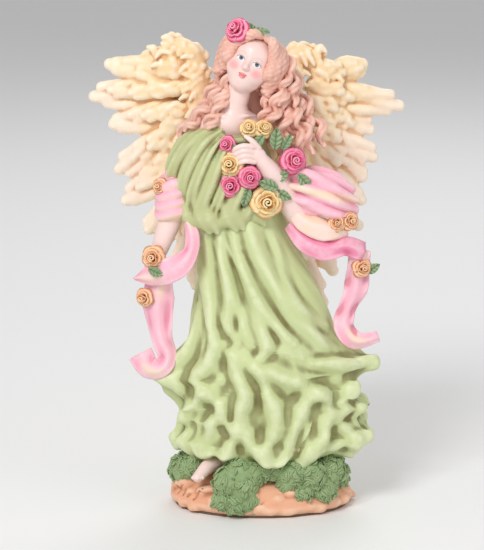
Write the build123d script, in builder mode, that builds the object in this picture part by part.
"""Resin angel figurine, about 200 mm tall, made of castings that are pegged and glued together.

The figurine faces -Y and stands on z = 0, with +Z up. Its right side is at -X and its left at +X.
The origin is the middle of the felt under the base. Every casting is solid. Pieces are made in the
order in which they are glued on, and each one is cut back to the pieces it is let into, so that
glued faces meet exactly and nothing overlaps.
"""

import os
from math import cos, radians, sin

from build123d import *

# ---- Driving dimensions, in millimetres and degrees ----
FELT_THICKNESS = 1.0
FELT_INSET = 1.5
BASE_LENGTH = 74.0
BASE_DEPTH = 50.0
BASE_HEIGHT = 13.0
BASE_TAPER = 4.0
BASE_ROUND = 2.5
GLUE_GAP = 0.15

FIGURE_PEG_RADIUS = 7.0
FIGURE_PEG_LENGTH = 8.0
WAIST_PEG_RADIUS = 5.0
WAIST_PEG_LENGTH = 6.0
NECK_PEG_RADIUS = 3.0
NECK_PEG_LENGTH = 5.0
WING_PEG_RADIUS = 2.0
WING_PEG_LENGTH = 6.0

SKIRT_HEIGHT = 111.0
SKIRT_FOLDS = 9
POINTS_PER_FOLD = 4
FOLD_TWIST = 4.0
CHEST_HEIGHT = 33.0
CHEST_ROUND = 14.0
BUST_HEIGHT = 6.0
NECK_RADIUS = 4.8
NECK_HEIGHT = 12.0

HEAD_WIDTH = 19.6
HEAD_LENGTH = 24.0
HEAD_TILT = 26.0
NOSE_RADIUS = 1.6
HAIR_THICKNESS = 4.2
CURL_RADIUS = 4.6

ELBOW_RADIUS = 5.0
SHAWL_RADIUS = 8.0
WRIST_RADIUS = 3.3
PALM_RADIUS = 3.6
FINGER_RADIUS = 1.15
FINGER_LENGTH = 8.0

WING_THICKNESS = 4.0
COVERT_THICKNESS = 2.0
WING_SWEEP = 14.0
FEATHER_WIDTH = 11.0

ANKLE_RADIUS = 3.4
TOE_RADIUS = 2.2
RIBBON_THICKNESS = 2.2
LEAF_THICKNESS = 1.5
LEAF_LENGTH = 7.0
LEAF_WIDTH = 4.6

# ---- Heights that follow from them ----
GROUND_Z = FELT_THICKNESS + BASE_HEIGHT
WAIST_Z = GROUND_Z + SKIRT_HEIGHT
SHOULDER_Z = WAIST_Z + CHEST_HEIGHT
NECK_Z = SHOULDER_Z + BUST_HEIGHT

# ---- Outlines, as (share of the height, centre x, centre y, half width, half depth, fold depth) ----
SKIRT_SECTIONS = (
    (0.00, -1.0, 0.5, 22.0, 14.0, 0.00),
    (0.06, 0.0, 0.0, 27.0, 18.0, 0.03),
    (0.13, 2.0, -0.5, 36.0, 22.5, 0.08),
    (0.27, 2.5, -0.5, 37.0, 23.0, 0.07),
    (0.40, 2.0, 0.0, 33.0, 21.0, 0.05),
    (0.60, -1.0, 0.0, 26.5, 18.0, 0.04),
    (0.80, -6.0, 0.0, 21.5, 15.0, 0.02),
    (1.00, -11.0, 0.0, 18.0, 12.5, 0.00),
)
CHEST_SECTIONS = (
    (0.00, -11.0, 0.0, 18.0, 12.5),
    (0.28, -12.5, -0.5, 19.0, 13.0),
    (0.55, -13.5, -1.0, 20.5, 13.5),
    (0.80, -13.0, -0.5, 18.5, 12.0),
    (1.00, -12.5, 0.0, 14.0, 9.5),
)
BUST_SECTIONS = (
    (0.00, -12.3, -0.3, 12.5, 8.5),
    (0.45, -12.3, -0.8, 9.6, 7.4),
    (1.00, -11.8, -1.0, 6.0, 5.8),
)
# A feather is (base out, base up, tip out, tip up, width as a share of FEATHER_WIDTH).
RIGHT_FEATHERS = (
    (10, 26, 40, 31, 0.90),
    (12, 20, 45, 19, 1.10),
    (14, 16, 39, -12, 1.05),
    (10, 8, 41, -27, 1.10),
    (7, 0, 29, -42, 0.85),
    (4, -2, 12, -58, 0.90),
)
LEFT_FEATHERS = (
    (10, 26, 40, 29, 0.95),
    (12, 20, 54, 12, 1.10),
    (14, 16, 43, 2, 1.20),
    (10, 8, 39, -12, 1.15),
    (7, 0, 37, -34, 0.85),
    (4, -2, 24, -63, 1.00),
)
WING_ARM = ((0, 0, 7.0), (4, 14, 10.0), (11, 29, 9.5), (14, 36, 5.5))

os.makedirs("parts", exist_ok=True)
glued = []


def above_waist(x, y, z):
    """A point given from the waist's height, so that the upper body rises with the skirt."""
    return Vector(x, y, WAIST_Z + z)


def clear_of(a, b):
    """Whether two bounding boxes are apart."""
    apart_x = a.min.X > b.max.X or b.min.X > a.max.X
    apart_y = a.min.Y > b.max.Y or b.min.Y > a.max.Y
    apart_z = a.min.Z > b.max.Z or b.min.Z > a.max.Z
    return apart_x or apart_y or apart_z


def seated(shape, box, flush):
    """The shape cut back to the pieces already glued, apart from those it meets flush, as one solid."""
    with BuildPart() as cut:
        add(shape)
        for name, host, host_box in glued:
            if name not in flush and not clear_of(box, host_box):
                add(host, mode=Mode.SUBTRACT)
    return cut.part.solids().sort_by(SortBy.VOLUME)[-1]


def glue_on(name, *shapes, flush=()):
    """Seats the shapes, which are one node's solids, and writes them as that node.

    Later pieces are cut by the shapes as they were made, which are simpler and cut the same.
    """
    solids = []
    for shape in shapes:
        box = shape.bounding_box()
        solids.append(seated(shape, box, flush))
        glued.append((name, shape, box))
    node = solids[0] if len(solids) == 1 else Compound(children=solids)
    node.label = name
    export_step(node, f"parts/{name}.step")


def fold_points(section):
    """Points round one closed outline of the skirt, waved by its folds."""
    share, x, y, half_width, half_depth, fold = section
    count = SKIRT_FOLDS * POINTS_PER_FOLD
    points = []
    for i in range(count):
        angle = radians(360 * i / count)
        reach = 1 + fold * cos(SKIRT_FOLDS * angle + FOLD_TWIST * share)
        points.append((x + half_width * reach * cos(angle), y + half_depth * reach * sin(angle)))
    return points


def limb(start, start_radius, end, end_radius):
    """A straight tapered limb with round ends, turned about the line from start to end."""
    along = end - start
    length = along.length
    side = Plane(origin=start, x_dir=along, z_dir=Vector(0, 1, 0).cross(along))
    with BuildPart() as made:
        with BuildSketch(side):
            with BuildLine():
                head_end = Polyline((0, 0), (-start_radius, 0))
                rounded = RadiusArc(head_end @ 1, (0, start_radius), start_radius)
                flank = Line(rounded @ 1, (length, end_radius))
                rounded_end = RadiusArc(flank @ 1, (length + end_radius, 0), end_radius)
                Line(rounded_end @ 1, (0, 0))
            make_face()
        revolve(axis=Axis(start, along))
    return made.part


def cluster(*balls):
    """Rounded lumps grown together, from (point, radius)."""
    with BuildPart() as made:
        for point, radius in balls:
            with Locations(point):
                Sphere(radius)
    return made.part


def ribbon(*stations):
    """A flat band through stations of (point, width, facing), where facing is its surface's normal."""
    points = [station[0] for station in stations]
    with BuildPart() as made:
        for i, (point, width, facing) in enumerate(stations):
            along = points[min(i + 1, len(points) - 1)] - points[max(i - 1, 0)]
            across = Vector(*facing).cross(along)
            with BuildSketch(Plane(origin=point, x_dir=across, z_dir=along)):
                RectangleRounded(width, RIBBON_THICKNESS, RIBBON_THICKNESS * 0.35)
        loft()
    return made.part


def rose(point, radius, facing=(0, -1, 0)):
    """A rose of five petals round a bud, opening along facing."""
    with BuildPart(Plane(origin=point, z_dir=facing)) as made:
        Sphere(radius * 0.62)
        with PolarLocations(radius * 0.48, 5):
            Sphere(radius * 0.5)
    return made.part


def leaf(point, turn, size=1.0, facing=(0, -1, 0)):
    """A pointed leaf, its length turned from level by turn degrees, facing along facing."""
    length, width = LEAF_LENGTH * size, LEAF_WIDTH * size
    plane = Plane(origin=point, x_dir=(1, 0, 0), z_dir=facing).rotated((0, 0, turn))
    with BuildPart() as made:
        with BuildSketch(plane):
            with BuildLine():
                upper = ThreePointArc((-length / 2, 0), (0, width / 2), (length / 2, 0))
                ThreePointArc(upper @ 1, (0, -width / 2), upper @ 0)
            make_face()
        extrude(amount=LEAF_THICKNESS / 2, both=True)
    return made.part


def wing(root, side, feathers):
    """A cast wing that spreads from root to one side, with a peg for the back of the bodice."""
    out = Vector(side * cos(radians(WING_SWEEP)), sin(radians(WING_SWEEP)), 0)
    plane = Plane(origin=root, x_dir=out, z_dir=out.cross(Vector(0, 0, 1)))
    with BuildPart() as made:
        with BuildSketch(plane):
            for base_out, base_up, tip_out, tip_up, share in feathers:
                base, tip = Vector(base_out, base_up), Vector(tip_out, tip_up)
                with Locations((base + tip) / 2):
                    turn = Vector(1, 0).get_signed_angle(tip - base)
                    SlotCenterToCenter((tip - base).length, FEATHER_WIDTH * share, rotation=turn)
        extrude(amount=side * WING_THICKNESS)
        with BuildSketch(plane):
            for base_out, base_up, tip_out, tip_up, share in feathers:
                base = Vector(base_out, base_up)
                middle = base + (Vector(tip_out, tip_up) - base) * 0.5
                with Locations((base + middle) / 2):
                    turn = Vector(1, 0).get_signed_angle(middle - base)
                    SlotCenterToCenter((middle - base).length, FEATHER_WIDTH, rotation=turn)
        extrude(amount=side * (WING_THICKNESS + COVERT_THICKNESS))
        with BuildSketch(plane):
            for arm_out, arm_up, radius in WING_ARM:
                with Locations((arm_out, arm_up)):
                    Circle(radius)
        extrude(amount=side * (WING_THICKNESS + 2 * COVERT_THICKNESS))
        with BuildSketch(Plane(origin=root, z_dir=(0, -1, 0))):
            Circle(WING_PEG_RADIUS)
        extrude(amount=WING_THICKNESS + 2 * COVERT_THICKNESS + WING_PEG_LENGTH)
    return made.part


# ---- Ground ----
with BuildPart() as felt_pad:
    with BuildSketch(Plane.XY):
        Ellipse(BASE_LENGTH / 2 - FELT_INSET, BASE_DEPTH / 2 - FELT_INSET)
    extrude(amount=FELT_THICKNESS)
glue_on("felt_pad", felt_pad.part)

with BuildPart() as ground_base:
    with BuildSketch(Plane.XY.offset(FELT_THICKNESS)):
        Ellipse(BASE_LENGTH / 2, BASE_DEPTH / 2)
    with BuildSketch(Plane.XY.offset(GROUND_Z)):
        Ellipse(BASE_LENGTH / 2 - BASE_TAPER, BASE_DEPTH / 2 - BASE_TAPER)
    loft()
    fillet(ground_base.edges().group_by(Axis.Z)[-1], BASE_ROUND)
    with Locations((0, 0, GROUND_Z)):
        Hole(FIGURE_PEG_RADIUS + GLUE_GAP, FIGURE_PEG_LENGTH + GLUE_GAP)
glue_on("ground_base", ground_base.part)

# ---- Figure ----
with BuildPart() as gown_skirt:
    for section in SKIRT_SECTIONS:
        with BuildSketch(Plane.XY.offset(GROUND_Z + section[0] * SKIRT_HEIGHT)):
            with BuildLine():
                Spline(*fold_points(section), periodic=True)
            make_face()
    loft(ruled=True)
    with BuildSketch(Plane.XY.offset(GROUND_Z)):
        Circle(FIGURE_PEG_RADIUS)
    extrude(amount=-FIGURE_PEG_LENGTH)
    waist_x = SKIRT_SECTIONS[-1][1]
    with Locations((waist_x, 0, WAIST_Z)):
        Hole(WAIST_PEG_RADIUS + GLUE_GAP, WAIST_PEG_LENGTH + GLUE_GAP)
glue_on("gown_skirt", gown_skirt.part)

RIGHT_WING_ROOT = above_waist(-21, 18.5, 22)
LEFT_WING_ROOT = above_waist(-3, 18.5, 22)

with BuildPart() as gown_bodice:
    for share, x, y, half_width, half_depth in CHEST_SECTIONS:
        with BuildSketch(Plane(origin=(x, y, WAIST_Z + share * CHEST_HEIGHT))):
            Ellipse(half_width, half_depth)
    loft()
    with Locations(above_waist(-26, -2, 17)):
        Sphere(CHEST_ROUND * 0.8)
    with BuildSketch(Plane(origin=(waist_x, 0, WAIST_Z))):
        Circle(WAIST_PEG_RADIUS)
    extrude(amount=-WAIST_PEG_LENGTH)
    neck_x = CHEST_SECTIONS[-1][1]
    with Locations((neck_x, 0, SHOULDER_Z)):
        Hole(NECK_PEG_RADIUS + GLUE_GAP, NECK_PEG_LENGTH + GLUE_GAP)
    for root in (RIGHT_WING_ROOT, LEFT_WING_ROOT):
        reach = WING_THICKNESS + 2 * COVERT_THICKNESS + WING_PEG_LENGTH + GLUE_GAP
        with BuildSketch(Plane(origin=root, z_dir=(0, -1, 0))):
            Circle(WING_PEG_RADIUS + GLUE_GAP)
        extrude(amount=reach, mode=Mode.SUBTRACT)
glue_on("gown_bodice", gown_bodice.part, flush=("gown_skirt",))

with BuildPart() as bust:
    for share, x, y, half_width, half_depth in BUST_SECTIONS:
        with BuildSketch(Plane(origin=(x, y, SHOULDER_Z + share * BUST_HEIGHT))):
            Ellipse(half_width, half_depth)
    loft()
    with BuildSketch(Plane(origin=(neck_x, 0, SHOULDER_Z))):
        Circle(NECK_PEG_RADIUS)
    extrude(amount=-NECK_PEG_LENGTH)
    throat = Vector(BUST_SECTIONS[-1][1], BUST_SECTIONS[-1][2], NECK_Z)
    nape = throat + Vector(3.2, -1.0, NECK_HEIGHT)
    with BuildSketch(Plane(origin=throat)):
        Ellipse(BUST_SECTIONS[-1][3], BUST_SECTIONS[-1][4])
    with BuildSketch(Plane(origin=nape)):
        Circle(NECK_RADIUS)
    loft()
glue_on("bust", bust.part)

# The head is a skull, a longer face and a narrower jaw, tilted about the neck.
head_centre = nape + Vector(3.8, 0.5, HEAD_LENGTH / 2 - NECK_HEIGHT * 0.45)
head_up = Vector(sin(radians(HEAD_TILT)), 0, cos(radians(HEAD_TILT)))
with BuildPart() as head:
    with Locations(head_centre):
        Sphere(HEAD_WIDTH / 2)
    with Locations(head_centre + head_up * (HEAD_LENGTH - HEAD_WIDTH) / 2):
        Sphere(HEAD_WIDTH / 2 - 0.3)
    with Locations(head_centre - head_up * (HEAD_LENGTH - HEAD_WIDTH) + Vector(0, -1.2, 0)):
        Sphere(HEAD_WIDTH / 2 - 2.6)
    with Locations(head_centre - head_up * 1.5 + Vector(-0.3, -HEAD_WIDTH / 2 + 0.4, 0)):
        Sphere(NOSE_RADIUS)
glue_on("head", head.part)

# ---- Wings ----
right_wing = wing(RIGHT_WING_ROOT, -1, RIGHT_FEATHERS)
left_wing = wing(LEFT_WING_ROOT, 1, LEFT_FEATHERS)
glue_on("right_wing", right_wing)
glue_on("left_wing", left_wing)

# ---- Hair ----
# The crown and the hair behind the neck meet at a level seam.
hair_seam = Plane.XY.offset(head_centre.Z - HEAD_LENGTH * 0.3)
with BuildPart() as hair_crown:
    hair_radius = HEAD_WIDTH / 2 + HAIR_THICKNESS
    with Locations(head_centre + head_up * 1.0 + Vector(0.5, 2.2, 0)):
        Sphere(hair_radius)
    with BuildSketch(Plane(origin=head_centre - head_up * 2.5 - Vector(1, 0, 0), z_dir=(0, -1, 0))):
        Circle(HEAD_WIDTH / 2 - 0.6)
    extrude(amount=2 * hair_radius, mode=Mode.SUBTRACT)
    split(bisect_by=hair_seam, keep=Keep.TOP)
glue_on("hair_crown", hair_crown.part)

with BuildPart() as hair_back:
    with Locations(head_centre + Vector(-1, 8, -12)):
        Sphere(HAIR_THICKNESS * 2.1)
    with Locations(above_waist(-8, 10, 33)):
        Sphere(HAIR_THICKNESS * 2.2)
    with Locations(above_waist(-11, 11, 19)):
        Sphere(HAIR_THICKNESS * 1.8)
    split(bisect_by=hair_seam, keep=Keep.BOTTOM)
glue_on("hair_back", hair_back.part, flush=("hair_crown",))

right_curls = cluster(
    (above_waist(-17.5, 2, 50), CURL_RADIUS),
    (above_waist(-18.5, 1, 43), CURL_RADIUS * 1.1),
    (above_waist(-21.5, 0, 36), CURL_RADIUS * 1.2),
    (above_waist(-27.5, 0, 32), CURL_RADIUS),
    (above_waist(-31.5, -2, 27), CURL_RADIUS * 1.1),
    (above_waist(-24.0, -5, 30), CURL_RADIUS * 0.9),
)
glue_on("hair_curls_right", right_curls)

left_curls = cluster(
    (above_waist(9.5, 1, 51), CURL_RADIUS * 1.2),
    (above_waist(8.0, 0, 43), CURL_RADIUS * 1.3),
    (above_waist(7.0, -3, 36), CURL_RADIUS * 1.3),
    (above_waist(14.0, -2, 33), CURL_RADIUS * 1.4),
    (above_waist(16.0, -4, 25), CURL_RADIUS * 1.4),
    (above_waist(11.0, -3, 18), CURL_RADIUS * 1.5),
    (above_waist(2.0, -6, 33), CURL_RADIUS * 1.0),
)
glue_on("hair_curls_left", left_curls)

# ---- Arms ----
right_shoulder = above_waist(-36, -3, 10)
right_elbow = above_waist(-35.5, -6, 0.5)
right_hand = above_waist(-43.0, -9, -23)
glue_on("right_sleeve_wrap", limb(right_shoulder, ELBOW_RADIUS, right_elbow, ELBOW_RADIUS * 1.36))
glue_on("right_forearm", limb(right_elbow, ELBOW_RADIUS, right_hand, WRIST_RADIUS))

left_elbow = above_waist(14.0, -8, -1)
left_palm = above_waist(-3.0, -14.5, 22)
with BuildPart() as left_hand:
    add(limb(left_elbow, ELBOW_RADIUS * 1.1, left_palm, PALM_RADIUS))
    for i in range(4):
        knuckle = left_palm + Vector(0.9, 0, 1.0) * ((i - 1.5) * FINGER_RADIUS * 1.35)
        tip = knuckle + Vector(-1, 0.1, 0.35).normalized() * FINGER_LENGTH
        add(limb(knuckle, FINGER_RADIUS * 1.05, tip, FINGER_RADIUS))
glue_on("left_forearm", left_hand.part)

# ---- Shawl and ribbons ----
shawl_inner = above_waist(14, -8, 9)
shawl_outer = above_waist(32, -5, 4.5)
glue_on("left_shawl_upper", limb(shawl_inner, SHAWL_RADIUS * 0.8, shawl_outer, SHAWL_RADIUS))
lower_inner = above_waist(17, -8, -5)
lower_outer = above_waist(33, -6, -6)
glue_on("left_shawl_lower", limb(lower_inner, SHAWL_RADIUS * 0.6, lower_outer, SHAWL_RADIUS * 0.75))
glue_on(
    "left_ribbon_sash",
    ribbon(
        (above_waist(11.5, -10, -7), 7.0, (0.2, -1, 0.2)),
        (above_waist(17.5, -12, -12), 10.5, (0.2, -1, 0.2)),
        (above_waist(25.5, -12, -15), 11.0, (0.1, -1, 0.2)),
        (above_waist(33.5, -10, -14.5), 10.5, (0.0, -1, 0.2)),
        (above_waist(41.0, -7, -17), 9.0, (0.3, -1, 0.1)),
    ),
)
glue_on(
    "left_ribbon_tail",
    ribbon(
        (above_waist(39.5, -7.4, -17), 10.0, (0.2, -1, 0)),
        (above_waist(38.8, -4, -27), 10.5, (0.1, -1, 0)),
        (above_waist(37.5, -3, -35), 10.5, (0.0, -1, 0)),
        (above_waist(34.0, -4, -43), 8.5, (-0.2, -1, 0)),
        (above_waist(33.5, -6, -50), 9.5, (-0.3, -1, 0.2)),
        (above_waist(38.5, -7, -55), 8.5, (0.0, -1, 0.3)),
        (above_waist(47.0, -6, -54), 7.0, (0.2, -1, 0.2)),
    ),
)
glue_on(
    "right_ribbon_loop",
    ribbon(
        (above_waist(-30.5, -10, -1), 5.0, (-0.3, -1, 0)),
        (above_waist(-28.0, -12, -9), 6.0, (-0.2, -1, 0)),
        (above_waist(-28.5, -14, -16), 6.5, (-0.2, -1, 0)),
        (above_waist(-33.0, -15, -22), 8.5, (-0.1, -1, 0)),
        (above_waist(-39.5, -14.5, -25.5), 9.5, (0, -1, 0)),
        (above_waist(-46.0, -12, -27.5), 7.0, (0, -1, 0)),
        (above_waist(-50.5, -9, -28.5), 3.5, (0, -1, 0)),
    ),
)
with BuildPart() as right_tail:
    add(
        ribbon(
            (above_waist(-40.5, -9, -26), 14.0, (-0.2, -1, 0)),
            (above_waist(-42.0, -8, -37), 13.5, (-0.2, -1, 0)),
            (above_waist(-41.5, -7, -46), 10.5, (-0.1, -1, 0)),
            (above_waist(-40.0, -7, -54), 8.5, (0, -1, 0)),
            (above_waist(-38.5, -8, -64), 8.5, (0, -1, 0)),
        )
    )
    add(
        ribbon(
            (above_waist(-39.0, -7, -67), 6.0, (0, -1, 0.3)),
            (above_waist(-44.5, -8, -68), 6.5, (0, -1, 0.2)),
            (above_waist(-48.0, -7, -63), 6.5, (0, -1, 0)),
            (above_waist(-50.0, -6, -57), 6.0, (0, -1, 0)),
        )
    )
glue_on("right_ribbon_tail", right_tail.part)

# ---- Foot and greenery at the ground ----
glue_on(
    "right_foot",
    limb(Vector(-21, -13, GROUND_Z + 5.0), ANKLE_RADIUS, Vector(-26, -19, GROUND_Z + 1.8), TOE_RADIUS),
)
glue_on(
    "foliage_front",
    cluster(
        (Vector(-9, -18, GROUND_Z + 4), 7.0),
        (Vector(-15, -21, GROUND_Z - 2), 6.0),
        (Vector(-7, -22, GROUND_Z - 3), 6.0),
        (Vector(-11, -22, GROUND_Z - 7), 5.5),
    ),
)
glue_on(
    "foliage_left",
    cluster(
        (Vector(4, -17, GROUND_Z + 5), 6.0),
        (Vector(12, -18, GROUND_Z + 3), 6.5),
        (Vector(20, -15, GROUND_Z + 2), 7.5),
        (Vector(28, -10, GROUND_Z + 2), 7.0),
        (Vector(25, -15, GROUND_Z - 3), 5.5),
        (Vector(29, 2, GROUND_Z + 2), 5.5),
    ),
)
glue_on(
    "foliage_right",
    cluster(
        (Vector(-32, -5, GROUND_Z), 5.5),
        (Vector(-33, 2, GROUND_Z), 5.8),
        (Vector(-30, 9, GROUND_Z), 5.8),
        (Vector(-25, 15, GROUND_Z), 5.5),
    ),
)
glue_on(
    "foliage_back",
    cluster(
        (Vector(-12, 20, GROUND_Z), 5.6),
        (Vector(-5, 22, GROUND_Z), 5.8),
        (Vector(3, 22.5, GROUND_Z), 5.8),
        (Vector(11, 21.5, GROUND_Z), 5.6),
    ),
)

# ---- Roses and leaves ----
glue_on(
    "garland_roses_pink",
    rose(above_waist(-14, -13, 27.2), 3.4),
    rose(above_waist(-12.4, -15.2, 11.0), 4.6),
    rose(above_waist(-5.0, -17, 14.5), 4.4),
    rose(above_waist(12.5, -12, 20.5), 5.0, (0.3, -1, 0)),
)
glue_on(
    "garland_roses_yellow",
    rose(above_waist(-12.5, -14.5, 19.5), 4.8),
    rose(above_waist(1.8, -15, 4.5), 6.2),
    rose(above_waist(-5.0, -11.5, 33.5), 3.6),
    rose(above_waist(0.5, -10.5, 33.5), 3.8),
    flush=("left_shawl_upper", "left_shawl_lower", "gown_skirt"),
)
glue_on(
    "garland_leaves",
    leaf(above_waist(5.5, -13, 29.5), 100, 1.25),
    leaf(above_waist(9.8, -12, 28), 120, 1.0),
    leaf(above_waist(-9.0, -16, 25.5), 20, 1.0),
    leaf(above_waist(-17.5, -14.5, 20.5), 80, 1.0),
    leaf(above_waist(-6.5, -15, 7.0), 110, 1.2),
    leaf(above_waist(2.5, -17, 10.5), 10, 1.3),
    leaf(above_waist(8.3, -16, 7.0), 100, 1.1),
    leaf(above_waist(17.0, -15.5, 12.5), 130, 1.2),
)
glue_on(
    "ribbon_roses",
    rose(above_waist(-40.8, -8, 9.5), 3.0),
    rose(above_waist(-43.6, -13, -18.5), 4.4),
    rose(above_waist(-47.5, -9.5, -36), 3.6),
    rose(above_waist(30.0, -13, -4.5), 3.4),
    rose(above_waist(35.2, -12, -4.0), 3.6),
    rose(above_waist(40.5, -7, -24), 3.4, (0.2, -1, 0)),
    flush=("gown_skirt",),
)
glue_on(
    "ribbon_leaves",
    leaf(above_waist(-42.5, -17, -24), 0, 0.9),
    leaf(above_waist(45.0, -6, -24.5), 80, 0.9),
)
hair_rose_centre = head_centre + head_up * 15.5 + Vector(-12, -5, 0.5)
glue_on("hair_rose", rose(hair_rose_centre, 4.6, (-0.5, -0.7, 0.5)))
hair_leaf_centre = head_centre + head_up * 14 + Vector(-2.5, -4.5, 0.5)
glue_on("hair_leaf", leaf(hair_leaf_centre, 10, 1.0, (0, -1, 0.8)))
